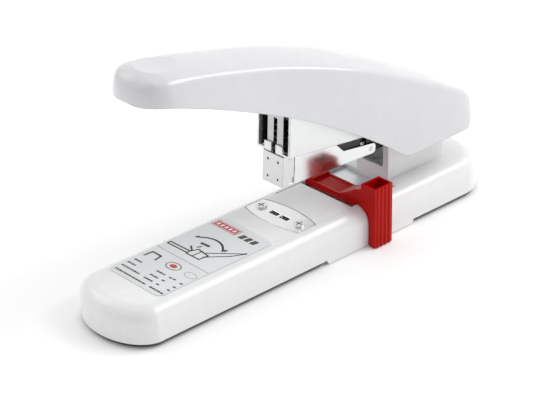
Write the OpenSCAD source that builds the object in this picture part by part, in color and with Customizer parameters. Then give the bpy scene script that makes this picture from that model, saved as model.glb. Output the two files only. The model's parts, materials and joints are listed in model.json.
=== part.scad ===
/* [Base] */
// Length of the base from nose to rear
base_len = 292.4; // [250:0.1:360]
// Width of the base across its sides
base_w = 63; // [60:0.1:80]
// Height of the base top above the table
base_h = 24.6; // [20:0.1:34]
// Radius of the rounded edge round the top of the base
edge_r = 10; // [6:0.5:12]
// Wall thickness of the moulded covers
wall = 2.4; // [1.8:0.1:3]
// Depth of the rounded nose of the base along its length
nose_b = 21.3; // [16:0.1:30]
// Depth of the rounded rear of the base along its length
rear_b = 26.5; // [18:0.1:34]

/* [Head] */
// Height of the main pin above the base top
pivot_h = 25.4; // [24:0.1:32]
// Distance of the main pin behind the middle of the base
pivot_y = 96.7; // [90:0.1:105]
// Nose-up tilt of the head when it is open, in degrees
head_tilt = 2.6; // [1:0.1:5]
// Outside half width of the head housing
housing_x = 13.5; // [12.6:0.1:13.7]
// Outside half width of the magazine
mag_x = 8.5; // [8.5:0.05:9]
// Thickness of the magazine's sheet steel
sheet = 0.8; // [0.6:0.05:1]
// Height of a staple in the strip
staple_h = 12.8; // [8:0.1:13]
// Length of the staple strip
strip_len = 47.5; // [20:0.5:48]

/* [Handle] */
// Width scale of the handle
handle_s = 1; // [0.97:0.01:1.2]
// Wall thickness of the handle cover
handle_wall = 2.2; // [1.6:0.1:3]

/* [Paper stop] */
// Length of the stop along the base
stop_len = 14.6; // [12:0.1:18]
// Height of the stop's grip above the base top
grip_h = 15; // [10:0.1:18]
// Thickness of the grip outside the base
grip_t = 5.9; // [4:0.1:9]

/* [Fits] */
// Radius of the main pin
pin_r = 3; // [2.5:0.1:3.5]
// Running clearance round a pin that turns
run_c = 0.05; // [0.02:0.01:0.1]
// Clearance round a screw or rivet
fix_c = 0.06; // [0.03:0.01:0.1]
// Gap between sliding sheet parts
slide_c = 0.3; // [0.3:0.05:0.5]

/* [Hidden] */
$fn = 48;
e = 0.01;
hw = base_w / 2;
nose_y = -base_len / 2 + nose_b;
rear_y = base_len / 2 - rear_b;
pivot_z = base_h + pivot_h;
plate_z = 3.3;
top_z = base_h - wall;
stop_y = 32.5;
anvil_y = -8.8;
brk_y0 = pivot_y - 28.6;
brk_y1 = pivot_y + 19.5;
brk_x = 13.3;
brk_in = 11.3;
frame_in = housing_x + 0.8;
frame_x = frame_in + 1.5;
guide_in = mag_x - sheet;
drawer_x = guide_in - slide_c;
drawer_in = drawer_x - 0.7;
staple_x = drawer_in - 0.2;
floor_z = -7.6;
drawer_z = floor_z + sheet + slide_c;
bay_z = drawer_z + 0.7 + 0.1;
crown_z = bay_z + staple_h;
blade_z = 11.7;
carrier_z0 = 34.5;
carrier_z1 = 47;
spring_y = -101.5;
spring_x = 6.2;
thumb_y = 195.8;

// Handle sections from the main pin: distance, half width at the lower edge and at the
// crease, height of the lower edge, the crease and the crown
SECT = [
  [-215.1, 1.5, 1.2, 84.1, 87.9, 88.1],
  [-214.6, 6.1, 4.7, 83.3, 90.3, 91.2],
  [-213.0, 11.2, 9.0, 83.1, 92.7, 94.5],
  [-210.1, 16.2, 13.1, 83.3, 94.8, 97.3],
  [-205.6, 20.1, 16.6, 83.2, 95.9, 99.1],
  [-200.0, 22.4, 18.5, 82.3, 95.9, 100.1],
  [-195.6, 23.1, 19.0, 81.1, 95.5, 99.9],
  [-191.1, 23.6, 19.4, 79.7, 95.0, 99.5],
  [-186.2, 23.8, 19.5, 78.1, 94.2, 98.8],
  [-179.9, 23.9, 19.5, 75.9, 93.1, 97.8],
  [-165.3, 24.2, 19.5, 70.3, 90.2, 94.9],
  [-148.5, 24.7, 19.6, 63.6, 86.4, 91.1],
  [-131.7, 25.2, 20.2, 56.4, 82.7, 87.3],
  [-114.9, 25.8, 21.5, 48.8, 78.4, 82.8],
  [-98.1, 26.5, 23.1, 40.3, 73.7, 77.7],
  [-81.3, 27.1, 24.6, 30.9, 68.4, 72.1],
  [-64.5, 27.7, 25.7, 20.7, 62.6, 66.1],
  [-47.7, 28.0, 26.2, 9.8, 55.7, 59.1],
  [-36.5, 28.0, 26.5, 2.1, 51.0, 54.4],
  [-28.1, 28.0, 26.7, -3.6, 47.2, 50.6],
  [-24.2, 28.0, 26.8, -4.8, 45.3, 48.8],
  [-10.7, 28.0, 26.9, -4.8, 38.8, 42.3],
  [2.7, 28.0, 26.9, -4.8, 32.3, 35.6],
  [15.6, 27.9, 26.6, -4.8, 25.5, 28.3],
  [23.2, 27.6, 26.0, -4.8, 21.5, 23.7],
  [28.4, 26.9, 25.0, -4.8, 18.2, 20.0],
  [31.1, 25.8, 23.3, 0.1, 15.6, 17.2],
  [33.6, 22.0, 17.8, 7.2, 11.9, 13.2]];
sect_last = len(SECT) - 1;

// Underside line of the head housing
function line_z(y) = 12.4 - (y + 105) * 0.0704;

// Point on the base outline at angle t, moved inwards by d
function edge_n(t, b) = [cos(t) / hw, sin(t) / b] / norm([cos(t) / hw, sin(t) / b]);
function edge_b(t) = sin(t) >= 0 ? rear_b : nose_b;
function edge_y(t) = sin(t) >= 0 ? rear_y : nose_y;
function edge_pt(t, d) =
  [hw * cos(t), edge_y(t) + edge_b(t) * sin(t)] - d * edge_n(t, edge_b(t));
EDGE_T = [for (i = [0 : 63]) i < 32 ? i * 180 / 31 : 180 + (i - 32) * 180 / 31];
function ring(z, d) = [for (t = EDGE_T) concat(edge_pt(t, d), [z])];

// Solid through rings of n points each, closed at both ends
module rings(rs) {
  n = len(rs[0]);
  m = len(rs);
  pts = [for (r = rs) for (p = r) p];
  sides = [for (k = [0 : m - 2]) for (i = [0 : n - 1]) for (h = [0 : 1])
    let (a = k * n + i, b = k * n + (i + 1) % n)
    h == 0 ? [a, b, b + n] : [a, b + n, a + n]];
  low = [[for (i = [n - 1 : -1 : 0]) i]];
  high = [[for (i = [0 : n - 1]) (m - 1) * n + i]];
  polyhedron(points = pts, faces = [for (f = concat(sides, low, high))
    [for (i = [len(f) - 1 : -1 : 0]) f[i]]], convexity = 6);
}

// Base body with its rounded top edge
module base_body(z0, z1, inset, r) {
  arc = [for (a = [0 : 15 : 90]) ring(z1 - r + r * sin(a), inset + r * (1 - cos(a)))];
  rings(concat([ring(z0, inset + 0.3), ring(z0 + 4, inset)], arc));
}

// Sheet in the Y-Z plane between two X positions
module side_x(pts, x0, x1) {
  translate([x0, 0, 0])
    rotate([90, 0, 90])
      linear_extrude(x1 - x0)
        polygon(pts);
}

module block(x0, x1, y0, y1, z0, z1) {
  translate([x0, y0, z0])
    cube([x1 - x0, y1 - y0, z1 - z0]);
}

module rod_x(r, x0, x1, y, z) {
  translate([x0, y, z])
    rotate([0, 90, 0])
      cylinder(r = r, h = x1 - x0);
}

module rod_y(r, x, y0, y1, z) {
  translate([x, y0, z])
    rotate([-90, 0, 0])
      cylinder(r = r, h = y1 - y0);
}

module rod_z(r, x, y, z0, z1) {
  translate([x, y, z0])
    cylinder(r = r, h = z1 - z0);
}

// Rounded rectangle plate
module pad(w, l, r, h) {
  linear_extrude(h)
    union() {
      square([w - 2 * r, l], center = true);
      square([w, l - 2 * r], center = true);
      for (i = [-1, 1])
        for (j = [-1, 1])
          translate([i * (w / 2 - r), j * (l / 2 - r)])
            circle(r);
    }
}

// Coil along +Z from the origin
module coil(r, wire, len, turns) {
  seg = 12;
  steps = turns * seg;
  rs = [for (i = [0 : steps])
    let (a = i * 360 / seg, z = wire + (len - 2 * wire) * i / steps)
    [for (k = [0 : 5])
      let (b = k * 60)
      [(r + wire * cos(b)) * cos(a), (r + wire * cos(b)) * sin(a), z - wire * sin(b)]]];
  rings(rs);
}

// Frame of the head: main pin at the origin, magazine along Y
module tilted() {
  translate([0, pivot_y, pivot_z])
    rotate([-head_tilt, 0, 0])
      children();
}

module mirrored() {
  children();
  mirror([1, 0, 0])
    children();
}

// ---- base ----
ANVIL_HOLES = [-16.2, 16.2];
SCREW_Y = [nose_y + 12.9, rear_y - 1.7];
FOOT_Y = [nose_y + 0.6, rear_y - 14.4];
BOLT_Y = [brk_y0 + 9, brk_y1 - 9];

module base_shell() {
  color([0.93, 0.93, 0.94])
    difference() {
      union() {
        difference() {
          base_body(plate_z, base_h, 0, edge_r);
          base_body(plate_z - 1, top_z, wall, edge_r - wall);
        }
        // skirts beside the paper stop
        mirrored()
          side_x([[1, 0.8], [71, 0.8], [73, 6], [-3, 6]], hw - 2.3, hw - 0.1);
        // screw posts
        mirrored()
          for (y = SCREW_Y)
            rod_z(3.4, 20, y, plate_z, top_z + 0.5);
      }
      mirrored()
        for (y = SCREW_Y)
          rod_z(1.5, 20, y, plate_z - 1, plate_z + 9);
      // well of the paper stop
      block(-22, hw - edge_r + 0.5, stop_y - 4.3, stop_y + 33.3, top_z - 3, base_h + 1);
      // narrow slot at the left of the well
      block(-22.5, -21.3, stop_y - 24.4, stop_y, top_z - 3, base_h + 1);
      // seat and holes of the anvil
      translate([0, anvil_y, base_h - 1.6])
        anvil_shape(0.5, 3);
      for (x = ANVIL_HOLES)
        rod_z(2.2, x, anvil_y, top_z - 3, base_h + 1);
      for (x = [-6.5, 6.5])
        for (y = BOLT_Y)
          rod_z(2.8, x, y, top_z - 3, base_h + 1);
    }
}

module base_plate() {
  color([0.08, 0.08, 0.09])
    difference() {
      rings([ring(1.2, 1.6), ring(plate_z - 0.6, 0.7), ring(plate_z, 0.7)]);
      mirrored()
        block(hw - 2.8, hw + 2, -4.5, 74, 0, plate_z + 1);
      mirrored()
        for (y = SCREW_Y)
          rod_z(1.7, 20, y, 0, plate_z + 1);
    }
}

module base_beam() {
  color([0.55, 0.57, 0.6])
    difference() {
      block(-16.5, 16.5, -26, brk_y1 - 3, plate_z + 0.1, top_z - 1.4);
      block(-15, 15, -27, brk_y1, 0, top_z - 2.9);
      for (x = [-6.5, 6.5])
        for (y = BOLT_Y)
          rod_z(2.5 + fix_c, x, y, 0, base_h);
    }
}

module slide_plate() {
  color([0.7, 0.74, 0.78])
    difference() {
      block(-22.2, hw - edge_r + 0.7, -26, brk_y1 - 3, top_z - 1.3, top_z - 0.1);
      mirrored()
        block(17.8, 21.2, stop_y - 1.5, stop_y + 19, 0, base_h);
      for (x = ANVIL_HOLES)
        rod_z(2 + fix_c, x, anvil_y, 0, base_h);
      for (x = [-6.5, 6.5])
        for (y = BOLT_Y)
          rod_z(2.5 + fix_c, x, y, 0, base_h);
    }
}

module feet() {
  color([0.1, 0.1, 0.1]) {
    mirrored()
      for (y = FOOT_Y)
        rod_z(7, 17, y, 0, 1.2);
    rod_z(8, 0, 0, 0, 1.2);
  }
}

module plate_screws() {
  color([0.6, 0.6, 0.62])
    mirrored()
      for (y = SCREW_Y)
        difference() {
          union() {
            rod_z(3, 20, y, 0.3, 1.15);
            rod_z(1.44, 20, y, 1.1, plate_z + 8);
          }
          block(19.6, 20.4, y - 2.2, y + 2.2, 0, 0.7);
          block(17.8, 22.2, y - 0.4, y + 0.4, 0, 0.7);
        }
}

module label_plate() {
  color([0.75, 0.76, 0.78])
    translate([0, -base_len / 2 + 69.1, base_h])
      pad(44.8, 85.4, 4, 0.4);
}

// Barrel-shaped outline of the anvil
module anvil_shape(c, h) {
  n = 16;
  pts = [for (i = [0 : n])
    let (u = -1 + 2 * i / n)
    [u * (22.4 + c), -(10.6 + c) + 3.6 * u * u]];
  linear_extrude(h)
    polygon(concat(pts, [for (i = [n : -1 : 0]) [pts[i][0], -pts[i][1]]]));
}

module anvil_plate() {
  color([0.8, 0.82, 0.84])
    translate([0, anvil_y, base_h - 1.6])
      difference() {
        anvil_shape(0, 1.5);
        for (x = ANVIL_HOLES)
          rod_z(2 + fix_c, x, 0, -1, 3);
        mirrored()
          translate([4.3, 0, 2.6])
            rotate([0, 90, 0])
              cylinder(r = 2.2, h = 6.4, center = true);
      }
}

module anvil_screws() {
  color([0.7, 0.72, 0.74])
    for (x = ANVIL_HOLES)
      difference() {
        union() {
          rod_z(3.5, x, anvil_y, base_h - 0.1, base_h + 1);
          rod_z(2, x, anvil_y, top_z - 1.3, base_h);
        }
        block(x - 0.4, x + 0.4, anvil_y - 2.4, anvil_y + 2.4, base_h + 0.3, base_h + 2);
        block(x - 2.4, x + 2.4, anvil_y - 0.4, anvil_y + 0.4, base_h + 0.3, base_h + 2);
      }
}

module rear_bracket() {
  side = [[brk_y0, base_h], [brk_y1, base_h], [brk_y1, base_h + 20],
    [brk_y1 - 9, pivot_z + 10], [brk_y0 + 16, pivot_z + 10], [brk_y0, pivot_z + 3]];
  color([0.92, 0.92, 0.93])
    difference() {
      union() {
        mirrored()
          side_x(side, brk_in, brk_x);
        block(-brk_in - e, brk_in + e, brk_y0, brk_y1, base_h, base_h + 2);
        block(-brk_in - e, brk_in + e, brk_y0, brk_y0 + 2, base_h, pivot_z + 3);
      }
      // window in the front wall
      block(-8.9, 8.9, brk_y0 - 1, brk_y0 + 3, base_h + 9.2, pivot_z + 20);
      block(-6.9, 6.9, brk_y0 - 1, brk_y0 + 3, base_h + 7.2, base_h + 10);
      mirrored()
        rod_y(2, 6.9, brk_y0 - 1, brk_y0 + 3, base_h + 9.2);
      rod_x(pin_r + run_c, -20, 20, pivot_y, pivot_z);
      for (x = [-6.5, 6.5])
        for (y = BOLT_Y)
          rod_z(2.5 + fix_c, x, y, 0, base_h + 3);
    }
}

module bracket_bolts() {
  color([0.6, 0.62, 0.64])
    for (x = [-6.5, 6.5])
      for (y = BOLT_Y)
        difference() {
          union() {
            rod_z(4, x, y, base_h + 2, base_h + 4.6);
            rod_z(2.5, x, y, top_z - 6, base_h + 2.1);
          }
          translate([x, y, base_h + 3.2])
            cylinder(r = 1.9, h = 3, $fn = 6);
        }
}

module pivot_pin() {
  color([0.7, 0.72, 0.74])
    difference() {
      rod_x(pin_r, -frame_x - 2.2, frame_x + 2.2, pivot_y, pivot_z);
      mirrored()
        difference() {
          rod_x(pin_r + 1, frame_x + 0.35, frame_x + 1.25, pivot_y, pivot_z);
          rod_x(pin_r - 0.5, frame_x, frame_x + 2, pivot_y, pivot_z);
        }
    }
}

module pin_clips() {
  color([0.3, 0.31, 0.33])
    mirrored()
      difference() {
        rod_x(pin_r + 2, frame_x + 0.4, frame_x + 1.2, pivot_y, pivot_z);
        rod_x(pin_r - 0.45, frame_x, frame_x + 2, pivot_y, pivot_z);
        block(frame_x, frame_x + 2, pivot_y - 1.6, pivot_y + 1.6, pivot_z - 8, pivot_z - 1.5);
      }
}

module pivot_spacers() {
  color([0.6, 0.62, 0.64])
    mirrored()
      difference() {
        rod_x(pin_r + 1.6, 7.6, brk_in - 0.3, pivot_y, pivot_z);
        rod_x(pin_r + run_c, 7, brk_in, pivot_y, pivot_z);
      }
}

module lift_spring() {
  color([0.5, 0.52, 0.54])
    union() {
      translate([7.9, pivot_y, pivot_z])
        rotate([0, 90, 0])
          coil(5.9, 0.5, 2.9, 2);
      rod_y(0.45, 8.45, pivot_y - 22, pivot_y, pivot_z - 5.9);
      rod_y(0.45, 10.2, pivot_y, pivot_y + 14, pivot_z - 5.9);
    }
}

// ---- paper stop ----
module paper_stop() {
  shoulder = [for (a = [0 : 10 : 90])
    [hw - edge_r + (edge_r + 0.5) * sin(a), base_h - edge_r + (edge_r + 0.5) * cos(a)]];
  outer = hw + 0.5 + grip_t;
  face = outer - 0.7;
  low = base_h - 2.2;
  prof = concat([[-21.6, low], [hw - edge_r - 0.1, low]], shoulder, [[hw + 0.5, 1.6],
    [hw + 1.5, 0.6], [face, 0.6], [face, base_h + grip_h], [hw - 5.9, base_h + grip_h],
    [hw - 5.9, base_h + 11.4], [hw - 10.8, base_h + 9.9], [14, base_h + 5.4],
    [7, base_h + 2.1], [-21.6, base_h + 2.1]]);
  color([0.75, 0.08, 0.05])
    difference() {
      union() {
        translate([0, stop_y + stop_len, 0])
          rotate([90, 0, 0])
            linear_extrude(stop_len)
              polygon(prof);
        // finger ribs on the outer face
        for (i = [0 : 3])
          rod_z(0.95, face - 0.25, stop_y + stop_len * (0.17 + 0.22 * i), 0.6, base_h + grip_h);
        // ribs at the left end of the bar
        for (x = [-21.2, -18.8, -16.4])
          block(x, x + 1.4, stop_y + 0.6, stop_y + stop_len - 0.6, base_h + 2, base_h + 3.7);
        // legs through the slide plate
        mirrored()
          block(18.3, 20.7, stop_y + 5, stop_y + 9.6, top_z - 4.4, base_h);
      }
      // sunk panel in the bar
      block(-14.3, 6, stop_y + 1.6, stop_y + stop_len - 1.6, base_h + 1.5, base_h + 4);
      // pocket of the grip
      block(hw - 4.4, face - 1.3, stop_y + 1.4, stop_y + stop_len - 1.4, base_h + 3,
        base_h + grip_h + 1);
    }
}

module stop_clips() {
  color([0.6, 0.62, 0.64])
    mirrored()
      difference() {
        block(17.1, 22, stop_y + 1, stop_y + 13.6, top_z - 3.3, top_z - 2.2);
        block(18.3 - fix_c, 20.7 + fix_c, stop_y + 5 - fix_c, stop_y + 9.6 + fix_c, 0, base_h);
      }
}

// ---- head ----
module head_housing() {
  side = [[-109.6, line_z(-109.6)], [-36, line_z(-36)], [-36, 22], [-60, 31],
    [-95, 38.5], [-109.6, 38.5]];
  web = [[-107.4, line_z(-107.4)], [-36, line_z(-36)], [-36, line_z(-36) + 1.2],
    [-107.4, line_z(-107.4) + 1.2]];
  color([0.82, 0.84, 0.85])
    tilted()
      difference() {
        union() {
          mirrored()
            side_x(side, housing_x - 1.2, housing_x);
          side_x(web, -housing_x + e, housing_x - e);
          // lip and tabs across the front
          mirrored()
            block(7.5, housing_x, -110.6, -109.5, 12.2, 13.8);
          mirrored()
            block(housing_x - 1.2, housing_x, -110.6, -109.4, 12.2, 38.5);
          mirrored()
            block(1.7, 7.6, -110.6, -109.5, 12.2, 17.8);
        }
        mirrored()
          rod_z(1.2 + fix_c, 10.4, -45, 0, 12);
      }
}

module driver_guide() {
  color([0.06, 0.06, 0.07])
    tilted()
      difference() {
        block(-housing_x + 1.25, housing_x - 1.25, -109.2, -91.3, 13.9, 38);
        block(-housing_x + 2.5, housing_x - 2.5, -110, -92.5, 10, 40);
      }
}

module magazine_guide() {
  side = [[-101.5, floor_z], [-36.5, floor_z], [-35.1, -7.0], [-34.5, -5.6],
    [-34.5, -2.8], [-35.1, -1.6], [-36.5, -0.9], [-61.6, 1.3], [-71.2, line_z(-71.2)],
    [-101.5, line_z(-101.5)]];
  color([0.84, 0.86, 0.87])
    tilted()
      difference() {
        side_x(side, -mag_x, mag_x);
        block(-guide_in, guide_in, -103, -30, floor_z + sheet, 20);
        mirrored()
          rod_x(1.2 + fix_c, 7, mag_x + 1, -38.5, -4.2);
      }
}

module head_arm() {
  arm = [[-41.5, -6.6], [-4, -6.6], [0, -6.8], [4.8, -4.8], [6.8, 0], [4.8, 4.8], [0, 7.2],
    [-41.5, 7.5]];
  color([0.07, 0.07, 0.08])
    tilted()
      difference() {
        side_x(arm, -7.2, 7.2);
        block(-5.6, 5.6, -43, -25.6, -8, 6.2);
        block(-5.6, 5.6, -24.4, 9, -8, 6.2);
        block(-8, 8, -26, -24, -8, -3);
        rod_x(pin_r + run_c, -9, 9, 0, 0);
        mirrored()
          rod_x(1.2 + fix_c, 5, 9, -38.5, -4.2);
      }
}

module head_rivets() {
  color([0.7, 0.72, 0.74])
    tilted()
      mirrored() {
        rod_x(1.2, 5.4, mag_x, -38.5, -4.2);
        rod_x(2, 4.8, 5.55, -38.5, -4.2);
      }
}

module release_slide() {
  cheek = [[-65.2, 0.2], [-46.5, 0.2], [-46.5, 6.6], [-71, 6.6]];
  color([0.05, 0.05, 0.06])
    tilted()
      union() {
        mirrored()
          side_x(cheek, drawer_in, drawer_x);
        block(-drawer_x, drawer_x, -49, -46.5, 0.2, 6.6);
        block(-5, 5, -46.6, -34, 0.2, 5.7);
        block(-4, 4, -49.5, -47, -5.4, 0.3);
      }
}

module release_spring() {
  color([0.6, 0.62, 0.64])
    tilted()
      translate([0, -33.8, 2.8])
        rotate([-90, 0, 0])
          coil(2, 0.35, 8, 4);
}

// ---- magazine drawer ----
module front_plate() {
  flange = [[-109.6, floor_z], [-107, floor_z], [-101.9, -2], [-101.9, 11.2], [-109.6, 11.6]];
  color([0.8, 0.81, 0.82])
    tilted()
      difference() {
        union() {
          block(-mag_x, mag_x, -110.7, -109.5, floor_z, 11.6);
          mirrored()
            side_x(flange, guide_in, mag_x);
        }
        for (x = [-4.2, 4.2])
          for (z = [-3.7, 7.2])
            rod_y(0.75, x, -112, -109, z);
      }
}

module magazine_drawer() {
  side = [[-109.45, drawer_z], [-50, drawer_z], [-50, -0.3], [-66.5, -0.3], [-76, 9.3],
    [-109.45, 9.3]];
  color([0.75, 0.77, 0.78])
    tilted()
      difference() {
        side_x(side, -drawer_x, drawer_x);
        block(-drawer_in, drawer_in, -112, -40, drawer_z + 0.7, 20);
        block(-drawer_in, drawer_in, -110, -107.7, drawer_z - 1, 0);
      }
}

module staple_rail() {
  rx = staple_x - 1.3;
  color([0.72, 0.74, 0.75])
    tilted()
      difference() {
        block(-rx, rx, -107.8, -52, drawer_z + 0.7, crown_z - 1.3);
        block(-rx + 0.8, rx - 0.8, -106.8, -51, drawer_z, crown_z - 2.1);
        block(-1.4, 1.4, -62, -51, 0, crown_z);
      }
}

module staples() {
  color([0.78, 0.79, 0.8])
    tilted()
      difference() {
        block(-staple_x, staple_x, -107.8, -107.8 + strip_len, bay_z, crown_z);
        block(-staple_x + 0.9, staple_x - 0.9, -109, -50, bay_z - 1, crown_z - 0.9);
        for (i = [1 : 22])
          block(-8, 8, -107.8 + i * strip_len / 23, -107.6 + i * strip_len / 23,
            crown_z - 0.15, crown_z + 1);
      }
}

module pusher() {
  y0 = -107.8 + strip_len + slide_c;
  px = staple_x - 0.1;
  color([0.2, 0.2, 0.22])
    tilted()
      difference() {
        block(-px, px, y0, y0 + 6, bay_z + 0.2, crown_z + 0.2);
        block(-px + 0.7, -1, y0 - 1, y0 + 7, bay_z - 1, crown_z - 0.9);
        block(1, px - 0.7, y0 - 1, y0 + 7, bay_z - 1, crown_z - 0.9);
        block(-2, 2, y0 - 1, y0 + 7, bay_z - 1, -1.8);
      }
}

module pusher_spring() {
  color([0.55, 0.57, 0.58])
    tilted()
      translate([0, -106.6, 0.8])
        rotate([-90, 0, 0])
          coil(2.2, 0.4, strip_len - 1.5, 12);
}

// ---- driver ----
module driver_carrier() {
  color([0.07, 0.07, 0.08])
    tilted()
      difference() {
        block(-housing_x + 3.1, housing_x - 3.1, -108.1, -93, carrier_z0, carrier_z1);
        mirrored()
          rod_z(3.9, spring_x, spring_y, carrier_z0 - 1, carrier_z0 + 9.8);
        mirrored()
          rod_y(1.2 + fix_c, 4, -110, -105.5, 42);
      }
}

module driver_blade() {
  color([0.62, 0.63, 0.65])
    tilted()
      difference() {
        block(-6.5, 6.5, -109.2, -108.2, blade_z, 46);
        block(-1.5, 1.5, -110, -107, blade_z - 1, 33.5);
        mirrored()
          rod_y(1.2 + fix_c, 4, -110, -105.5, 42);
      }
}

module blade_rivets() {
  color([0.7, 0.72, 0.74])
    tilted()
      mirrored() {
        rod_y(1.2, 4, -109.25, -105.6, 42);
        rod_y(2, 4, -109.8, -109.2, 42);
      }
}

module return_springs() {
  color([0.62, 0.64, 0.66])
    tilted()
      mirrored()
        translate([spring_x, spring_y, 13.45])
          coil(3, 0.4, 30.6, 8);
}

// ---- handle ----
// Depth of the shallow thumb rest at a point of the roof
function dip(x, y) = 1.6 * max(0, 1 - pow(x / 14, 2) - pow((y + thumb_y) / 15.5, 2));
function sect_pts(s, c, dz) =
  let (wb = s[1] * handle_s - c, wr = max(s[2] * handle_s - c, 0.3),
    zb = pivot_z + s[3] - dz, zr = pivot_z + s[4] - c * 0.6, zc = pivot_z + s[5] - c,
    zm = (zb + dz + zr) / 2, wm = (wb + wr) / 2 + 0.6, z2 = zb + min(2, 0.4 * (zm - zb)))
  concat([[wb, zb]], c > 0 ? [] : [[wb, z2]], [[wm, zm], [wr + 0.6, zr - 1.2]],
    [for (k = [1 : -0.2 : -1]) let (x = wr * k * 0.98)
      [x, zr + (zc - zr) * (1 - k * k) - dip(x, s[0])]],
    [[-wr - 0.6, zr - 1.2], [-wm, zm]], c > 0 ? [] : [[-wb, z2]], [[-wb, zb]]);
function sect_ring(i, c, dz, dy) =
  [for (p = sect_pts(SECT[i], c, dz)) [-p[0], pivot_y + SECT[i][0] + dy, p[1]]];

module handle_shell() {
  color([0.93, 0.93, 0.94])
    difference() {
      union() {
        difference() {
          rings([for (i = [0 : sect_last]) sect_ring(i, 0, 0, 0)]);
          rings([for (i = [3 : sect_last - 3]) sect_ring(i, handle_wall, 6, 0.4)]);
        }
        tilted()
          mirrored() {
            rod_z(3.2, 11.2, -101, 64.1, 69.6);
            rod_z(3.2, 9, -39, 39.6, 49.8);
          }
      }
      tilted()
        mirrored() {
          rod_z(1.3, 11.2, -101, 60, 66.9);
          rod_z(1.3, 9, -39, 36, 46.2);
        }
    }
}

module handle_frame() {
  side = [[-106, 47], [-97, 39.5], [-78, 30], [-44, 10], [-20, 0], [-6, -4.6], [-2.5, -6.2],
    [2.5, -6.2], [6.2, -2.5], [6.2, 2.5], [2.5, 6.4], [-30, 38], [-60, 52], [-84, 60],
    [-94, 64], [-106, 64]];
  color([0.5, 0.52, 0.55])
    tilted()
      difference() {
        union() {
          mirrored()
            side_x(side, frame_in, frame_x);
          block(-frame_in - e, frame_in + e, -106, -94, 62.5, 64);
          block(-frame_in - e, frame_in + e, -46, -34, 38, 39.5);
          mirrored()
            block(6.2, 7.7, -100.4, -94, 49.2, 62.6);
        }
        rod_x(pin_r + run_c, -20, 20, 0, 0);
        rod_x(1.5 + fix_c, -9, 9, -97, 51.3);
        mirrored() {
          rod_z(1.2 + fix_c, 11.2, -101, 60, 66);
          rod_z(1.2 + fix_c, 9, -39, 34, 42);
        }
      }
}

module press_roller() {
  color([0.3, 0.31, 0.33])
    tilted()
      difference() {
        rod_x(4, -5.8, 5.8, -97, 51.3);
        rod_x(1.5 + run_c, -7, 7, -97, 51.3);
      }
}

module roller_axle() {
  color([0.7, 0.72, 0.74])
    tilted()
      rod_x(1.5, -8.4, 8.4, -97, 51.3);
}

module handle_screws() {
  color([0.6, 0.62, 0.64])
    tilted()
      mirrored() {
        rod_z(1.2, 11.2, -101, 62, 66.7);
        rod_z(2.2, 11.2, -101, 61, 62.45);
        rod_z(1.2, 9, -39, 37.5, 45.5);
        rod_z(2.2, 9, -39, 36.5, 37.95);
      }
}

base_shell();
base_plate();
base_beam();
slide_plate();
feet();
plate_screws();
label_plate();
anvil_plate();
anvil_screws();
rear_bracket();
bracket_bolts();
pivot_pin();
pin_clips();
pivot_spacers();
lift_spring();
paper_stop();
stop_clips();
head_housing();
driver_guide();
magazine_guide();
head_arm();
head_rivets();
release_slide();
release_spring();
front_plate();
magazine_drawer();
staple_rail();
staples();
pusher();
pusher_spring();
driver_carrier();
driver_blade();
blade_rivets();
return_springs();
handle_shell();
handle_frame();
press_roller();
roller_axle();
handle_screws();
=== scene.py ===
import json
import math
import bpy
import bmesh
from mathutils import Matrix, Vector


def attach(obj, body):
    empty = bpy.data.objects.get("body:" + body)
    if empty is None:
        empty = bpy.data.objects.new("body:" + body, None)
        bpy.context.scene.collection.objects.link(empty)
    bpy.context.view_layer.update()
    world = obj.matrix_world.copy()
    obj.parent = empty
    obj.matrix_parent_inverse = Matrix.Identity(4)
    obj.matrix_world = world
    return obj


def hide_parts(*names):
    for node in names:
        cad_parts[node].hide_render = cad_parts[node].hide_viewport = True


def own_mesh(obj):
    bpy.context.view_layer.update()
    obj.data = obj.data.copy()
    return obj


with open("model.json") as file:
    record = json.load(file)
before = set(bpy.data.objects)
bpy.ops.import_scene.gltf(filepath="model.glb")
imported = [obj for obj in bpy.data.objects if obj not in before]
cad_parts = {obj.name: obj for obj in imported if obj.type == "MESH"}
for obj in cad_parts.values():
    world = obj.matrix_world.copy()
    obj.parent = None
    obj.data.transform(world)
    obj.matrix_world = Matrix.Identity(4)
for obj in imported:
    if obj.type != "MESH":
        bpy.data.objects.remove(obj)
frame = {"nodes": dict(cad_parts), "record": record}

MM = 0.001
scene = bpy.context.scene
nodes = frame["nodes"]
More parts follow.
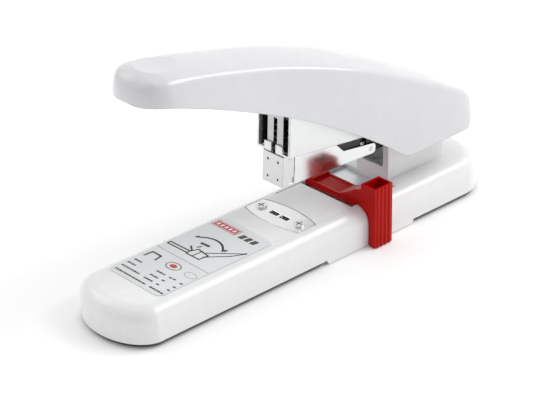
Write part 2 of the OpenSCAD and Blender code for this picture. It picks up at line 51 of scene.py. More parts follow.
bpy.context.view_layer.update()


# ---------------------------------------------------------------- materials
class Graph:
    """A material's node tree with short calls for the nodes used here."""

    def __init__(self, name):
        self.mat = bpy.data.materials.new(name)
        self.mat.use_nodes = True
        self.t = self.mat.node_tree
        self.t.nodes.clear()
        out = self.t.nodes.new("ShaderNodeOutputMaterial")
        self.bsdf = self.t.nodes.new("ShaderNodeBsdfPrincipled")
        self.t.links.new(self.bsdf.outputs["BSDF"], out.inputs["Surface"])
        self.coord = self.t.nodes.new("ShaderNodeTexCoord").outputs["Object"]

    def link(self, a, b):
        self.t.links.new(a, b)

    def noise(self, scale, detail=3.0, rough=0.55, stretch=None):
        vec = self.coord
        if stretch:
            m = self.t.nodes.new("ShaderNodeMapping")
            m.inputs["Scale"].default_value = stretch
            self.link(self.coord, m.inputs["Vector"])
            vec = m.outputs["Vector"]
        n = self.t.nodes.new("ShaderNodeTexNoise")
        n.inputs["Detail"].default_value = detail
        n.inputs["Roughness"].default_value = rough
        n.inputs["Scale"].default_value = scale
        self.link(vec, n.inputs["Vector"])
        return n.outputs["Fac"]

    def remap(self, value, a, b, c, d, smooth=False):
        n = self.t.nodes.new("ShaderNodeMapRange")
        if smooth:
            n.interpolation_type = "SMOOTHSTEP"
        for key, v in zip(("From Min", "From Max", "To Min", "To Max"), (a, b, c, d)):
            n.inputs[key].default_value = v
        self.link(value, n.inputs["Value"])
        return n.outputs["Result"]

    def math(self, op, a, b):
        n = self.t.nodes.new("ShaderNodeMath")
        n.operation = op
        for i, v in enumerate((a, b)):
            if isinstance(v, (int, float)):
                n.inputs[i].default_value = v
            else:
                self.link(v, n.inputs[i])
        return n.outputs[0]

    def mix(self, fac, a, b):
        n = self.t.nodes.new("ShaderNodeMix")
        n.data_type = "RGBA"
        self.link(fac, n.inputs[0])
        for i, v in ((6, a), (7, b)):
            if isinstance(v, tuple):
                n.inputs[i].default_value = (*v, 1)
            else:
                self.link(v, n.inputs[i])
        return n.outputs[2]

    def bump(self, height, strength, distance, normal=None):
        n = self.t.nodes.new("ShaderNodeBump")
        n.inputs["Strength"].default_value = strength
        n.inputs["Distance"].default_value = distance
        self.link(height, n.inputs["Height"])
        if normal:
            self.link(normal, n.inputs["Normal"])
        return n.outputs["Normal"]

    def edge_mask(self, radius):
        """1 on outside edges, where a rounded normal leaves the true one."""
        b = self.t.nodes.new("ShaderNodeBevel")
        b.samples = 4
        b.inputs["Radius"].default_value = radius
        g = self.t.nodes.new("ShaderNodeNewGeometry")
        d = self.t.nodes.new("ShaderNodeVectorMath")
        d.operation = "DOT_PRODUCT"
        self.link(b.outputs["Normal"], d.inputs[0])
        self.link(g.outputs["Normal"], d.inputs[1])
        return self.remap(d.outputs["Value"], 0.80, 0.985, 1, 0, smooth=True)


def shade(c, k):
    """The colour c made k times as bright."""
    return tuple(max(0.0, min(1.0, v * k)) for v in c)


def finish(name, color, rough, metal=0.0, tint=0.04, tint_mm=14, spread=0.05, grain_mm=0.5,
           stretch=None, bump=0.05, bump_mm=0.01, peel=0.0, coat=0.0, coat_rough=0.06,
           spec=0.5, edge=None, edge_mm=0.35, scratch=0.0, aniso=0.0):
    """A surface with broad tint, fine grain, uneven gloss and, where asked for, scratches, moulding ripple
    (peel) and edges in another colour: dark ones as painted shade at gaps, light ones as a painted
    highlight."""
    g = Graph(name)
    b = g.bsdf
    broad = g.noise(1000 / tint_mm, 4, 0.6)
    fine = g.noise(1000 / grain_mm, 3, 0.6, stretch)
    col = g.mix(g.remap(broad, 0.3, 0.7, 0, 1), shade(color, 1 - tint), shade(color, 1 + tint))
    col = g.mix(g.remap(fine, 0.35, 0.65, 0, 0.5), col, shade(color, 1 + tint * 0.5))
    # Painted light on the edges: a dark edge colour paints the shade at gaps, a light one paints a highlight
    if edge:
        edge_color, strength = edge
        patches = g.remap(g.noise(1000 / 3, 4), 0.35, 0.6, 0.15, strength)
        col = g.mix(g.math("MULTIPLY", g.edge_mask(edge_mm * MM), patches), col, edge_color)
    g.link(col, b.inputs["Base Color"])
    r = g.remap(g.math("ADD", g.math("MULTIPLY", broad, 0.5), g.math("MULTIPLY", fine, 0.5)),
                0.3, 0.7, max(rough - spread, 0.02), rough + spread)
    if scratch:
        lines = g.noise(1000 / 0.4, 2, 0.5, (1, 0.03, 1))
        r = g.math("ADD", r, g.remap(lines, 0.6, 0.7, 0, scratch))
    g.link(r, b.inputs["Roughness"])
    n = g.bump(fine, bump, bump_mm * MM)
    if peel:
        n = g.bump(g.noise(1000 / 2.2, 1, 0.4), peel, 0.03 * MM, n)
    g.link(n, b.inputs["Normal"])
    b.inputs["Metallic"].default_value = metal
    b.inputs["Specular IOR Level"].default_value = spec
    b.inputs["Coat Weight"].default_value = coat
    b.inputs["Coat Roughness"].default_value = coat_rough
    b.inputs["Anisotropic"].default_value = aniso
    return g.mat


GAP_SHADE_LINE = ((0.03, 0.03, 0.035), 0.95)  # painted shade: a dark line along the edges of the screws, anvil, housing, magazine and front plate, for the shade in the gaps beside them

# One material for each slot of the record
MATERIALS = {
    "cover_white": finish("moulded_white", (0.81, 0.806, 0.818), 0.26, tint=0.012, tint_mm=40, spread=0.04,
                          grain_mm=0.35, bump=0.10, bump_mm=0.006, peel=0.10, coat=0.25, coat_rough=0.08),
    "underplate_black": finish("black_paint", (0.016, 0.016, 0.018), 0.42, tint=0.2, grain_mm=0.4,
                               bump=0.3, bump_mm=0.012),
    "zinc_steel": finish("zinc_sheet", (0.70, 0.735, 0.755), 0.33, metal=1.0, tint=0.07, tint_mm=9,
                         spread=0.09, grain_mm=0.9, stretch=(8, 0.35, 8), bump=0.12, bump_mm=0.006,
                         aniso=0.35, scratch=0.06),
    # Rubber feet: the lighter grey on their edges is a painted highlight
    "rubber_black": finish("rubber_pad", (0.022, 0.022, 0.023), 0.72, tint=0.25, grain_mm=0.3, bump=0.5,
                           bump_mm=0.02, spec=0.35, edge=((0.07, 0.07, 0.07), 0.5)),
    "screw_steel": finish("plated_screw", (0.86, 0.86, 0.87), 0.30, metal=0.6, tint=0.06, grain_mm=0.25,
                          bump=0.15, bump_mm=0.006, edge=GAP_SHADE_LINE, edge_mm=0.4),
    "label_grey": finish("label_film", (0.69, 0.71, 0.715), 0.38, tint=0.03, tint_mm=20, grain_mm=0.18,
                         bump=0.12, bump_mm=0.004, coat=0.2, coat_rough=0.25),
    "anvil_steel": finish("anvil_plate", (0.86, 0.865, 0.87), 0.23, metal=1.0, tint=0.04, tint_mm=7,
                          grain_mm=0.7, stretch=(0.4, 9, 9), bump=0.15, bump_mm=0.006, aniso=0.4,
                          edge=GAP_SHADE_LINE, edge_mm=0.8, scratch=0.05),
    "bracket_white": finish("powder_white", (0.87, 0.87, 0.875), 0.30, tint=0.015, tint_mm=22,
                            grain_mm=0.55, bump=0.22, bump_mm=0.016, coat=0.2, coat_rough=0.15),
    "pin_steel": finish("turned_steel", (0.62, 0.63, 0.64), 0.22, metal=1.0, tint=0.06, grain_mm=0.5,
                        stretch=(12, 1, 1), bump=0.2, bump_mm=0.006, aniso=0.5),
    "spring_steel": finish("spring_wire", (0.47, 0.48, 0.49), 0.30, metal=1.0, tint=0.09, tint_mm=5,
                           grain_mm=0.25, bump=0.2, bump_mm=0.005),
    # Red stop: the lighter orange on its edges is a painted highlight on the rounded edges
    "stop_red": finish("stop_red", (0.44, 0.002, 0.0), 0.32, tint=0.05, tint_mm=18, spread=0.05,
                       grain_mm=0.3, bump=0.12, bump_mm=0.008, peel=0.05,
                       spec=0.14, edge=((0.72, 0.045, 0.015), 0.6), edge_mm=0.3),
    "housing_satin": finish("satin_nickel", (0.80, 0.815, 0.815), 0.40, metal=1.0, tint=0.02, tint_mm=25,
                            grain_mm=0.6, stretch=(6, 0.5, 6), bump=0.05, bump_mm=0.004, aniso=0.2,
                            scratch=0.04, edge=GAP_SHADE_LINE, edge_mm=0.95),
    "head_chrome": finish("chrome", (0.80, 0.81, 0.82), 0.17, metal=1.0, tint=0.012, tint_mm=30, spread=0.04,
                          grain_mm=1.2, stretch=(6, 0.5, 6), bump=0.02, bump_mm=0.004, scratch=0.03,
                          edge=GAP_SHADE_LINE, edge_mm=0.95),
    # Black guide: the lighter grey on its edges is a painted highlight
    "guide_black": finish("guide_black", (0.012, 0.012, 0.013), 0.40, tint=0.25, grain_mm=0.3, bump=0.25,
                          bump_mm=0.01, edge=((0.06, 0.06, 0.062), 0.5)),
    # Black arm: the lighter grey on its edges is a painted highlight
    "arm_black": finish("arm_black", (0.013, 0.013, 0.014), 0.33, tint=0.2, grain_mm=0.4, bump=0.25,
                        bump_mm=0.012, edge=((0.12, 0.12, 0.12), 0.6)),
    "plate_chrome": finish("satin_chrome", (0.70, 0.70, 0.71), 0.21, metal=1.0, tint=0.03, tint_mm=6,
                           spread=0.05, grain_mm=0.5, stretch=(1, 1, 0.08), bump=0.08,
                           bump_mm=0.005, aniso=0.3, edge=GAP_SHADE_LINE, edge_mm=0.5),
    "staple_zinc": finish("staple_wire", (0.74, 0.74, 0.745), 0.26, metal=1.0, tint=0.08, tint_mm=2,
                          grain_mm=0.2, bump=0.2, bump_mm=0.006),
    "blade_steel": finish("blade_steel", (0.52, 0.52, 0.53), 0.28, metal=1.0, tint=0.08, tint_mm=5,
                          grain_mm=0.4, stretch=(1, 1, 0.05), bump=0.15, bump_mm=0.006, aniso=0.4),
    "frame_steel": finish("pressed_steel", (0.50, 0.51, 0.53), 0.36, metal=1.0, tint=0.08, tint_mm=10,
                          grain_mm=0.6, bump=0.2, bump_mm=0.01, scratch=0.08),
}
# The handle cover: the same plastic as the base, made a little darker as painted shade, with a dark line of
# painted shade at its edges
COVER = finish("moulded_cover", (0.665, 0.658, 0.676), 0.27, tint=0.012, tint_mm=40, spread=0.04,
               grain_mm=0.35, bump=0.10, bump_mm=0.006, peel=0.10, coat=0.25, coat_rough=0.08,
               edge=((0.16, 0.16, 0.17), 0.95), edge_mm=0.8)
# Painted shade: a near-black for the anvil's clinch grooves and the screws' cross recesses
RECESS_SHADE = finish("recess_shade_dark", (0.05, 0.05, 0.052), 0.35, metal=0.7, tint=0.15, grain_mm=0.3,
                   bump=0.2, bump_mm=0.006)


def ink(name, color, rough, tint):
    """Printing ink on the label."""
    return finish(name, color, rough, tint=tint, grain_mm=0.2, bump=0.15, bump_mm=0.004, coat=0.2)


INK = ink("print_black", (0.012, 0.012, 0.013), 0.34, 0.2)
RED_INK = ink("print_red", (0.50, 0.014, 0.022), 0.34, 0.06)
PALE_INK = ink("print_pale", (0.74, 0.75, 0.75), 0.36, 0.03)
GREY_INK = ink("print_grey", (0.20, 0.205, 0.21), 0.36, 0.06)

# ---------------------------------------------------------------- CAD nodes
# Rounding of the edges in millimetres: of the nodes named here, and of all others
SMALL_BEVEL = 0.1
BEVEL = {"base_shell": 0.35, "base_plate": 0.3, "feet": 0.3, "paper_stop": 0.35, "label_plate": 0.12,
         "rear_bracket": 0.3, "head_housing": 0.18, "magazine_guide": 0.15, "front_plate": 0.15,
         "driver_guide": 0.2, "driver_carrier": 0.5, "anvil_plate": 0.15, "anvil_screws": 0.2,
         "bracket_bolts": 0.25, "pivot_pin": 0.3, "staples": 0.03, "head_arm": 0.2, "handle_frame": 0.2,
         "press_roller": 0.3, "release_slide": 0.15, "pusher": 0.12, "slide_plate": 0.12, "base_beam": 0.15}
SLOT_OF = {s["node"]: s["material_slot"] for s in frame["record"]["subparts"]}


def soften(obj, width, angle=32, merge=True):
    """Merged, rounded edges and even shading; the object's own vertices stay as they are."""
    me = obj.data
    if "custom_normal" in me.attributes:
        me.attributes.remove(me.attributes["custom_normal"])
    for p in me.polygons:
        p.use_smooth = True
    if merge:
        w = obj.modifiers.new("weld", "WELD")
        w.merge_threshold = 2e-6
        d = obj.modifiers.new("flat", "DECIMATE")
        d.decimate_type = "DISSOLVE"
        d.angle_limit = math.radians(0.4)
    b = obj.modifiers.new("edge", "BEVEL")
    b.width = width * MM
    b.segments = 2
    b.limit_method = "ANGLE"
    b.angle_limit = math.radians(angle)
    b.miter_outer = "MITER_ARC"
    b.use_clamp_overlap = True
    n = obj.modifiers.new("normals", "WEIGHTED_NORMAL")
    n.keep_sharp = True
    n.weight = 80


for name, obj in nodes.items():
    for s in obj.material_slots:
        s.material = MATERIALS[SLOT_OF[name]]
    if not obj.material_slots:
        obj.data.materials.append(MATERIALS[SLOT_OF[name]])
    soften(obj, BEVEL.get(name, SMALL_BEVEL))


# ---------------------------------------------------------------- helpers
def make(name, verts, faces, mat, body, slot=None, smooth=True):
    """A mesh piece from points in millimetres, riding on a body where one is named."""
    me = bpy.data.meshes.new(name)
    me.from_pydata([tuple(c * MM for c in v) for v in verts], [], faces)
    me.validate()
    ob = bpy.data.objects.new(name, me)
    scene.collection.objects.link(ob)
    me.materials.append(mat)
    for p in me.polygons:
        p.use_smooth = smooth
    if body:
        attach(ob, body)
    return ob


PIN_Y, PIN_Z = 96.7, 50.0  # the main pin, which the head and the handle turn on
HEAD_TILT = -2.6
TILT = Matrix.Translation((0, PIN_Y, PIN_Z)) @ Matrix.Rotation(math.radians(HEAD_TILT), 4, "X")
COIL_STEPS = 20  # points in a turn


def coil_points(r, length, turns, wire_r):
    """A compression coil along +Z with one closed turn at each end."""
    n = turns * COIL_STEPS
    rise = length - 2 * wire_r
    low, high = 2.1 * wire_r, rise - 2.1 * wire_r
    pts = []
    for i in range(n + 1):
        t = turns * i / n
        if t < 1:
            z = low * t
        elif t > turns - 1:
            z = rise - low * (turns - t)
        else:
            z = low + (high - low) * (t - 1) / (turns - 2)
        angle = 2 * math.pi * t
        pts.append((r * math.cos(angle), r * math.sin(angle), wire_r + z))
    return pts


def wire(name, pts, radius, body, replaced):
    """A round spring wire along the points, in place of a CAD node."""
    cu = bpy.data.curves.new(name, "CURVE")
    cu.dimensions = "3D"
    cu.bevel_depth = radius * MM
    cu.bevel_resolution = 3
    cu.use_fill_caps = True
    sp = cu.splines.new("POLY")
    sp.points.add(len(pts) - 1)
    for q, p in zip(sp.points, pts):
        q.co = (p[0] * MM, p[1] * MM, p[2] * MM, 1)
    sp.use_smooth = True
    cu.materials.append(MATERIALS["spring_steel"])
    curve = bpy.data.objects.new(name + "_path", cu)
    scene.collection.objects.link(curve)
    mesh = bpy.data.meshes.new_from_object(curve.evaluated_get(bpy.context.evaluated_depsgraph_get()))
    bpy.data.objects.remove(curve)
    ob = bpy.data.objects.new(name, mesh)
    scene.collection.objects.link(ob)
    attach(ob, body)
    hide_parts(replaced)
    return ob


def moved(pts, m):
    return [tuple(m @ Vector(p)) for p in pts]


# ---------------------------------------------------------------- springs
for sx, tag in ((-1, "left"), (1, "right")):
    foot = TILT @ Matrix.Translation((sx * 6.2, -101.5, 13.45))
    spring = wire("return_spring_" + tag, moved(coil_points(3, 30.6, 9, 0.4), foot), 0.4, "head",
                  "return_springs")
    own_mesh(spring)

lay = Matrix.Rotation(math.radians(-90), 4, "X")  # turns a coil from +Z to +Y
front = TILT @ Matrix.Translation((0, -33.8, 2.8)) @ lay
release_coil = wire("release_coil", moved(coil_points(2, 8, 5, 0.35), front), 0.35, "head", "release_spring")
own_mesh(release_coil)

front = TILT @ Matrix.Translation((0, -106.6, 0.8)) @ lay
wire("pusher_coil", moved(coil_points(2.2, 46, 15, 0.4), front), 0.4, "magazine", "pusher_spring")

# The lift spring: two turns round the main pin, one leg under the head and one on the base
LIFT_R = 5.9
LIFT_STEPS = 24
leg_z = PIN_Z - LIFT_R
turns = []
for i in range(2 * LIFT_STEPS + 1):
    angle = 2 * math.pi * i / LIFT_STEPS
    x = 8.4 + 1.85 * i / (2 * LIFT_STEPS)
    turns.append((x, PIN_Y + LIFT_R * math.sin(angle), PIN_Z - LIFT_R * math.cos(angle)))
front_leg = [(8.45, PIN_Y - 22, leg_z), (8.42, PIN_Y - 16.7, leg_z), (8.4, PIN_Y - 6.7, leg_z)]
rear_leg = [(10.25, PIN_Y + 7.3, leg_z), (10.25, PIN_Y + 14, leg_z)]
wire("lift_coil", front_leg + turns + rear_leg, 0.5, "base", "lift_spring")

# ---------------------------------------------------------------- handle cover
# Sections from the main pin, as in the part's source: distance along Y, half width at the lower
# edge and at the crease, height of the lower edge, the crease and the crown
SECT = [
    [-215.1, 1.5, 1.2, 84.1, 87.9, 88.1], [-214.6, 6.1, 4.7, 83.3, 90.3, 91.2],
    [-213.0, 11.2, 9.0, 83.1, 92.7, 94.5], [-210.1, 16.2, 13.1, 83.3, 94.8, 97.3],
    [-205.6, 20.1, 16.6, 83.2, 95.9, 99.1], [-200.0, 22.4, 18.5, 82.3, 95.9, 100.1],
    [-195.6, 23.1, 19.0, 81.1, 95.5, 99.9], [-191.1, 23.6, 19.4, 79.7, 95.0, 99.5],
    [-186.2, 23.8, 19.5, 78.1, 94.2, 98.8], [-179.9, 23.9, 19.5, 75.9, 93.1, 97.8],
    [-165.3, 24.2, 19.5, 70.3, 90.2, 94.9], [-148.5, 24.7, 19.6, 63.6, 86.4, 91.1],
    [-131.7, 25.2, 20.2, 56.4, 82.7, 87.3], [-114.9, 25.8, 21.5, 48.8, 78.4, 82.8],
    [-98.1, 26.5, 23.1, 40.3, 73.7, 77.7], [-81.3, 27.1, 24.6, 30.9, 68.4, 72.1],
    [-64.5, 27.7, 25.7, 20.7, 62.6, 66.1], [-47.7, 28.0, 26.2, 9.8, 55.7, 59.1],
    [-36.5, 28.0, 26.5, 2.1, 51.0, 54.4], [-28.1, 28.0, 26.7, -3.6, 47.2, 50.6],
    [-24.2, 28.0, 26.8, -4.8, 45.3, 48.8], [-10.7, 28.0, 26.9, -4.8, 38.8, 42.3],
    [2.7, 28.0, 26.9, -4.8, 32.3, 35.6], [15.6, 27.9, 26.6, -4.8, 25.5, 28.3],
    [23.2, 27.6, 26.0, -4.8, 21.5, 23.7], [28.4, 26.9, 25.0, -4.8, 18.2, 20.0],
    [31.1, 25.8, 23.3, 0.1, 15.6, 17.2], [33.6, 22.0, 17.8, 7.2, 11.9, 13.2]]


def slopes(s, v):
    """Slopes of a shape-keeping cubic through the points (s, v)."""
    n = len(s)
    h = [s[i + 1] - s[i] for i in range(n - 1)]
    d = [(v[i + 1] - v[i]) / h[i] for i in range(n - 1)]
    m = [d[0]] + [0.0] * (n - 2) + [d[-1]]
    for i in range(1, n - 1):
        if d[i - 1] * d[i] > 0:
            w1, w2 = 2 * h[i] + h[i - 1], h[i] + 2 * h[i - 1]
            m[i] = (w1 + w2) / (w1 / d[i - 1] + w2 / d[i])
    return m


def refine(rows, step):
    """More sections between the rows, about step millimetres apart, on smooth curves."""
    s = [0.0]
    for a, b in zip(rows, rows[1:]):
        s.append(s[-1] + math.dist((a[0], a[1] * 0.8, a[5]), (b[0], b[1] * 0.8, b[5])))
    cols = list(zip(*rows))
    m = [slopes(s, c) for c in cols]
    out = []
    for i in range(len(rows) - 1):
        h = s[i + 1] - s[i]
        k = max(2, math.ceil(h / step))
        for j in range(k):
            t = j / k
            a, b = 2 * t**3 - 3 * t**2 + 1, t**3 - 2 * t**2 + t
            c, d = -2 * t**3 + 3 * t**2, t**3 - t**2
            out.append([a * q[i] + b * h * w[i] + c * q[i + 1] + d * h * w[i + 1]
                        for q, w in zip(cols, m)])
    return out + [list(rows[-1])]


def bez(a, c, b, t):
    """The point at t on the curve from a to b with the control point c."""
    return tuple((1 - t)**2 * p + 2 * t * (1 - t) * q + t * t * r for p, q, r in zip(a, c, b))


def half_section(row, c=0.0, drop=0.0, fine=True):
    """Points from the lower edge over the rounded crease to the crown, for x >= 0. The section is
    c millimetres inside the row's, and its lower edge is moved down by drop."""
    y, wb, wr, zb, zr, zc = row
    wb, wr, zb, zr, zc = wb - c, max(wr - c, 0.25), zb - drop, zr - 0.6 * c, zc - c
    a, m, b = (wb, zb), ((wb + wr) / 2 + 0.6, (zb + drop + zr) / 2), (wr + 0.45, zr - 0.9)
    ctl = (2 * m[0] - (a[0] + b[0]) / 2, 2 * m[1] - (a[1] + b[1]) / 2)
    r = 2.3 * min(1.0, wr / 11)
    side_len = math.dist(a, b)
    ta = max(0.35, 1 - r / side_len)
    k0 = max(0.3, 1 - r / (0.98 * wr))

    def top(k):
        return (0.98 * wr * k, zr + (zc - zr) * (1 - k * k))

    p = bez(a, ctl, b, ta)
    dp = tuple(2 * (1 - ta) * (ctl[k] - a[k]) + 2 * ta * (b[k] - ctl[k]) for k in (0, 1))
    q = top(k0)
    dq = (0.98 * wr, -2 * k0 * (zc - zr))
    den = dp[0] * dq[1] - dp[1] * dq[0]
    if abs(den) > 1e-6:
        u = ((q[0] - p[0]) * dq[1] - (q[1] - p[1]) * dq[0]) / den
        x = (p[0] + u * dp[0], p[1] + u * dp[1])
    else:
        x = b
    if not 0 <= math.dist(p, x) <= 3 * r + 1:
        x = ((p[0] + q[0]) / 2, (p[1] + q[1]) / 2)
    ns, nc, nt = (9, 7, 14) if fine else (4, 2, 6)
    pts = [bez(a, ctl, b, ta * i / ns) for i in range(ns)]
    pts += [bez(p, x, q, i / nc) for i in range(nc)]
    pts += [top(k0 * (1 - i / nt)) for i in range(nt + 1)]
    return pts


def loft(name, rows, c=0.0, drop=0.0, fine=True, shift=0.0):
    """A closed skin through the sections of the rows."""
    verts, faces = [], []
    for row in rows:
        half = half_section(row, c, drop, fine)
        ring = half + [(-x, z) for x, z in reversed(half[:-1])]
        verts += [(x, PIN_Y + row[0] + shift, PIN_Z + z) for x, z in ring]
        n = len(ring)
    for k in range(len(rows) - 1):
        for i in range(n):
            a, b = k * n + i, k * n + (i + 1) % n
            faces.append((a, b, b + n, a + n))
    faces.append(tuple(range(n - 1, -1, -1)))
    faces.append(tuple((len(rows) - 1) * n + i for i in range(n)))
    ob = make(name, verts, faces, COVER, None)
    bm = bmesh.new()
    bm.from_mesh(ob.data)
    bmesh.ops.recalc_face_normals(bm, faces=bm.faces)
    bm.to_mesh(ob.data)
    bm.free()
    return ob


def cut(ob, tools):
    """ob minus the tools, applied."""
    for t in tools:
        m = ob.modifiers.new("cut", "BOOLEAN")
        m.operation = "DIFFERENCE"
        m.solver = "EXACT"
        m.object = t
    dg = bpy.context.evaluated_depsgraph_get()
    me = bpy.data.meshes.new_from_object(ob.evaluated_get(dg))
    ob.modifiers.clear()
    ob.data = me
    for t in tools:
        bpy.data.objects.remove(t)


WALL = 2.2
THUMB_Y, THUMB_Z = -99.1, 148.1  # middle and floor of the thumb rest
THUMB_RADII = (60, 50, 20)
THUMB_TILT = -5
RIM_ANGLE = 7  # the rest's rim stays sharp where its faces meet at more than this


def on_thumb_rest(x, y, z):
    """Whether a point of the cover, in millimetres, is in or at the thumb rest."""
    return abs(x) < 16 and abs(y - THUMB_Y) < 18 and z > THUMB_Z - 4


cover = loft("handle_cover", refine(SECT, 2.4))
cavity = loft("cavity", refine(SECT[3:-3], 5.0), WALL, 6.0, fine=False, shift=0.4)
bm = bmesh.new()
bmesh.ops.create_uvsphere(bm, u_segments=96, v_segments=48, radius=1.0)
place = Matrix.Translation((0, THUMB_Y * MM, (THUMB_Z + THUMB_RADII[2]) * MM))
turn = Matrix.Rotation(math.radians(THUMB_TILT), 4, "X")
size = Matrix.Diagonal([r * MM for r in THUMB_RADII] + [1])
bmesh.ops.transform(bm, verts=bm.verts, matrix=place @ turn @ size)
dish_me = bpy.data.meshes.new("dish")
bm.to_mesh(dish_me)
bm.free()
dish = bpy.data.objects.new("dish", dish_me)
scene.collection.objects.link(dish)
cut(cover, [cavity, dish])
soften(cover, 0.3, angle=38, merge=False)
bm = bmesh.new()
bm.from_mesh(cover.data)
for edge in bm.edges:
    middle = (edge.verts[0].co + edge.verts[1].co) / 2 / MM
    if on_thumb_rest(*middle) and edge.calc_face_angle(0) > math.radians(RIM_ANGLE):
        edge.smooth = False
bm.to_mesh(cover.data)
bm.free()
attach(cover, "handle")
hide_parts("handle_shell")

# ---------------------------------------------------------------- label print
TOP = 25.0  # height of the label's face


def prism(polys, z0, z1):
    """Upright solids on the outlines, between two heights."""
    verts, faces = [], []
    for poly in polys:
        n, k = len(poly), len(verts)
        verts += [(x, y, z0) for x, y in poly] + [(x, y, z1) for x, y in poly]
        faces.append(tuple(k + i for i in reversed(range(n))))
        faces.append(tuple(k + n + i for i in range(n)))
        faces += [(k + i, k + (i + 1) % n, k + n + (i + 1) % n, k + n + i) for i in range(n)]
    return verts, faces


def bar(x0, x1, y0, y1, skew=0.0):
    """A rectangle whose far side is moved sideways by skew."""
    return [(x0, y0), (x1, y0), (x1 + skew, y1), (x0 + skew, y1)]


def stroke(pts, w):
    """Quads along a line that overlap at its corners."""
    out = []
    reach, half = 0.3 * w, 0.68 * w
    for (ax, ay), (bx, by) in zip(pts, pts[1:]):
        d = math.hypot(bx - ax, by - ay)
        ux, uy = (bx - ax) / d, (by - ay) / d
        x0, y0, x1, y1 = ax - ux * reach, ay - uy * reach, bx + ux * reach, by + uy * reach
        nx, ny = -uy * half, ux * half
        out.append([(x0 - nx, y0 - ny), (x1 - nx, y1 - ny), (x1 + nx, y1 + ny), (x0 + nx, y0 + ny)])
    return out


def ellipse(cx, cy, rx, ry, n=28, a0=0, a1=360):
    """Points of an ellipse, or of its arc from a0 to a1 degrees."""
    angles = [math.radians(a0 + (a1 - a0) * i / n) for i in range(n + (a1 - a0 < 360))]
    return [(cx + rx * math.cos(a), cy + ry * math.sin(a)) for a in angles]


def ring(cx, cy, rx, ry, w, n=28):
    """Quads of an elliptic ring of width w."""
    o, i = ellipse(cx, cy, rx, ry, n), ellipse(cx, cy, rx - w, ry - w, n)
    return [[i[k], o[k], o[(k + 1) % n], i[(k + 1) % n]] for k in range(n)]


def printed(name, polys, mat, lift=0.03):
    """Print that stands a few hundredths of a millimetre above the label."""
    v, f = prism(polys, TOP - 0.05, TOP + lift)
    make(name, v, f, mat, "base", "label_grey", smooth=False)


def dashes(x0, x1, y, h, seed):
    """A row of short bars with small gaps."""
    out, x, k = [], x0, seed
    while x < x1 - 0.5:
        k = (k * 37 + 11) % 101
        w = 0.8 + 1.5 * k / 101
        out.append(bar(x, min(x + w, x1), y - h / 2, y + h / 2, 0.15))
        x += w + 0.38
    return out


# Three bars beside the red block, the outline drawing of the stapler with its double arrow, and
# the staple
black = [bar(2.6 + i * 4.8, 6.1 + i * 4.8, -44.8, -40.2, 0.9) for i in range(3)]
black += stroke(ellipse(-2.5, -72.0, 14.8, 16.2, 18, 38, 132)[::-1], 0.95)
black += [[(-15.4, -61.9), (-12.2, -61.0), (-13.9, -58.6)], [(10.9, -61.6), (8.0, -60.4), (10.4, -58.3)]]
black += stroke([(-6.7, -63.9), (-0.6, -63.4)], 1.5) + stroke([(-4.6, -68.9), (-3.6, -66.4)], 0.8)
black += stroke([(-20.6, -77.3), (-4.2, -76.9), (-4.2, -74.5), (-20.6, -75.0), (-20.6, -77.3)], 0.8)
black += stroke([(-4.2, -77.6), (6.6, -77.4), (7.2, -71.0), (-2.2, -69.8), (-4.2, -74.5)], 0.75)
black += stroke([(-8.4, -70.2), (-3.6, -73.6)], 0.9) + stroke([(1.2, -70.0), (0.8, -76.8)], 0.6)
black += stroke([(3.4, -70.4), (21.0, -54.0), (16.6, -62.2), (6.4, -73.8)], 0.65)
black += [ellipse(20.6, -54.3, 0.8, 0.8, 12)]
black += stroke([(-18.9, -96.0), (-18.5, -90.0), (-11.2, -90.0), (-10.3, -95.2)], 0.95)
# Rows of short bars from one X to another at a Y, and single bars, in place of the small print
ROWS = [(-19.5, -13.4, -102.4), (-19.8, -13.2, -107.0), (-19.7, -4.2, -111.5), (-19.5, 6.8, -116.4),
        (10.0, 21.4, -116.2), (-0.5, 6.7, -102.1), (-0.2, 7.0, -107.2), (-0.2, 7.0, -111.7)]
SINGLES = [(11.0, -101.9), (13.9, -101.6), (20.2, -102.0), (10.4, -106.7), (20.3, -107.1),
           (11.4, -111.6), (20.4, -111.4)]
for k, (a, b, y) in enumerate(ROWS):
    black += dashes(a, b, y, 1.35, 5 + 13 * k)
for x, y in SINGLES:
    black += [bar(x - 1.1, x + 1.1, y - 0.6, y + 0.6, 0.15)]
printed("label_marks", black, INK)
printed("label_block", [bar(-20.6, -0.2, -44.6, -38.0, 0.5)], RED_INK, 0.028)
frame_line = [(-19.8, -43.9), (-1.0, -43.9), (-0.6, -38.7), (-19.4, -38.7), (-19.8, -43.9)]
block_bars = [bar(-18.2 + 3.4 * i, -16.4 + 3.4 * i, -42.5, -40.1, 0.4) for i in range(5)]
printed("label_block_line", stroke(frame_line, 0.35) + block_bars, PALE_INK, 0.036)
printed("label_rule", [bar(-22.2, 22.2, -84.0, -83.6)], GREY_INK, 0.03)
printed("label_ring", ring(2.4, -92.4, 5.6, 4.0, 0.9) + ring(17.0, -92.4, 4.6, 2.8, 0.3), GREY_INK, 0.03)
printed("label_dot", [ellipse(2.4, -92.4, 2.6, 1.8, 24)], RED_INK, 0.03)


# ---------------------------------------------------------------- anvil grooves and screw slots
ANVIL_Y, ANVIL_TOP = -8.8, 24.5
GROOVE_X, GROOVE_HALF = 4.3, 2.9
GROOVE_AXIS = ANVIL_TOP + 1.1  # height of the axis of the groove's round
SCREW_X, CROSS_HALF, CROSS_W = 16.2, 2.3, 0.34
CROSS_Z = (24.92, 25.3)


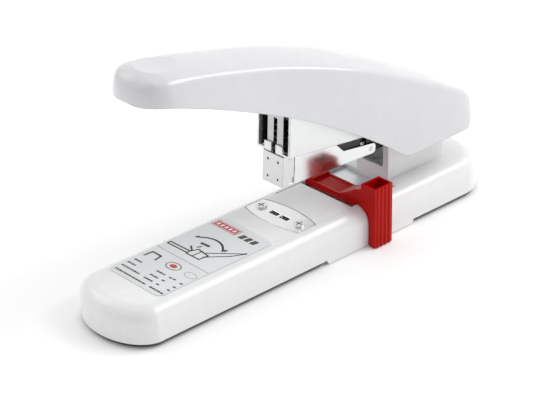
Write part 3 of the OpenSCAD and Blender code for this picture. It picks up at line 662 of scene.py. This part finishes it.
def groove_shade(x_mid):
    """A thin dark shell on the floor of one clinch groove, painting the shade in the groove."""
    arc = [math.radians(-52 + 13 * i) for i in range(9)]
    verts, faces = [], []
    for x in (x_mid - GROOVE_HALF, x_mid + GROOVE_HALF):
        for r in (2.17, 2.08):
            verts += [(x, ANVIL_Y + r * math.sin(a), GROOVE_AXIS - r * math.cos(a)) for a in arc]
    n = len(arc)
    for i in range(n - 1):
        faces += [(i, i + 1, 2 * n + i + 1, 2 * n + i), (n + i + 1, n + i, 3 * n + i, 3 * n + i + 1),
                  (i + 1, i, n + i, n + i + 1), (2 * n + i, 2 * n + i + 1, 3 * n + i + 1, 3 * n + i)]
    faces += [(0, 2 * n, 3 * n, n), (n - 1, 2 * n - 1, 4 * n - 1, 3 * n - 1)]
    return verts, faces


def cross(x):
    """Outlines of the cross in a screw's head: one whole bar and two half bars, filled dark as painted shade
    in the recess.
    """
    near, far = CROSS_W + 0.01, CROSS_HALF
    return [bar(x - CROSS_W, x + CROSS_W, ANVIL_Y - far, ANVIL_Y + far),
            bar(x - far, x - near, ANVIL_Y - CROSS_W, ANVIL_Y + CROSS_W),
            bar(x + near, x + far, ANVIL_Y - CROSS_W, ANVIL_Y + CROSS_W)]


# Painted shade: a dark shell in each clinch groove and a dark cross in each screw head
for sx, tag in ((-1, "left"), (1, "right")):
    make("clinch_groove_shade_" + tag, *groove_shade(sx * GROOVE_X), RECESS_SHADE, "base", "anvil_steel")
    verts, faces = prism(cross(sx * SCREW_X), *CROSS_Z)
    make("screw_cross_" + tag, verts, faces, RECESS_SHADE, "base", "screw_steel", smooth=False)


# ---------------------------------------------------------------- stage
def floor_paint():
    """Matt white with a faint glow, so that the floor fades into the white around it."""
    g = Graph("floor_white")
    white = (0.93, 0.93, 0.93)
    g.link(g.mix(g.noise(1000 / 60, 2, 0.4), shade(white, 0.995), white), g.bsdf.inputs["Base Color"])
    g.bsdf.inputs["Roughness"].default_value = 0.9
    g.bsdf.inputs["Specular IOR Level"].default_value = 0.1
    g.bsdf.inputs["Emission Color"].default_value = (1, 1, 1, 1)
    g.bsdf.inputs["Emission Strength"].default_value = 0.08
    return g.mat


FLOOR_HALF = 4000
corners = [(x * FLOOR_HALF, y * FLOOR_HALF, 0) for x, y in ((-1, -1), (1, -1), (1, 1), (-1, 1))]
floor = make("floor", corners, [(0, 1, 2, 3)], floor_paint(), None)

# White all round, darker towards the front right, where the shaded sides face
DARK_SIDE = (0.68, -0.73, 0.05)
world = bpy.data.worlds.new("studio")
scene.world = world
world.use_nodes = True
wt = world.node_tree
wt.nodes.clear()
w_out = wt.nodes.new("ShaderNodeOutputWorld")
w_bg = wt.nodes.new("ShaderNodeBackground")
w_tc = wt.nodes.new("ShaderNodeTexCoord")
w_dot = wt.nodes.new("ShaderNodeVectorMath")
w_dot.operation = "DOT_PRODUCT"
w_dot.inputs[1].default_value = DARK_SIDE
w_map = wt.nodes.new("ShaderNodeMapRange")
w_map.interpolation_type = "SMOOTHSTEP"
for key, v in zip(("From Min", "From Max", "To Min", "To Max"), (0.25, 0.95, 0.92, 0.38)):
    w_map.inputs[key].default_value = v
wt.links.new(w_tc.outputs["Generated"], w_dot.inputs[0])
wt.links.new(w_dot.outputs["Value"], w_map.inputs["Value"])
wt.links.new(w_map.outputs["Result"], w_bg.inputs["Strength"])
w_bg.inputs["Color"].default_value = (1.0, 1.0, 1.0, 1)
wt.links.new(w_bg.outputs["Background"], w_out.inputs["Surface"])


def area(name, direction, distance, size, watts):
    """A rectangular lamp that looks at the object from a direction, metres away."""
    light = bpy.data.lights.new(name, "AREA")
    light.shape = "RECTANGLE"
    light.size, light.size_y = size
    light.energy = watts
    ob = bpy.data.objects.new(name, light)
    scene.collection.objects.link(ob)
    d = Vector(direction).normalized()
    ob.location = Vector((0, 0, 0.07)) + d * distance
    ob.rotation_mode = "QUATERNION"
    ob.rotation_quaternion = d.to_track_quat("Z", "Y")


area("soft_key", (0.46, 0.62, 0.80), 1.5, (0.9, 0.5), 7.5)
area("soft_rear", (0.15, 0.85, 0.55), 1.5, (0.5, 0.3), 2.2)
area("soft_left", (-0.8, -0.35, 0.7), 1.6, (0.9, 0.7), 3.0)

# ---------------------------------------------------------------- camera
AIM = Vector((-14.04, 2.32, 24.6)) * MM
DISTANCE = 1.1409
az, el, roll = (math.radians(a) for a in (47.46, 27.96, -1.02))
back = Vector((math.sin(az) * math.cos(el), -math.cos(az) * math.cos(el), math.sin(el)))
right0 = Vector((math.cos(az), math.sin(az), 0))
up0 = back.cross(right0)
right = right0 * math.cos(roll) + up0 * math.sin(roll)
up = up0 * math.cos(roll) - right0 * math.sin(roll)
cam_data = bpy.data.cameras.new("camera")
cam_data.sensor_fit = "HORIZONTAL"
cam_data.sensor_width = 36
cam_data.lens = 124.77
cam_data.clip_start, cam_data.clip_end = 0.05, 30
cam = bpy.data.objects.new("camera", cam_data)
scene.collection.objects.link(cam)
rot = Matrix((right, up, back)).transposed().to_4x4()
cam.matrix_world = Matrix.Translation(AIM + back * DISTANCE) @ rot
scene.camera = cam
scene.view_settings.view_transform = "Standard"
scene.view_settings.look = "None"

bpy.context.view_layer.update()
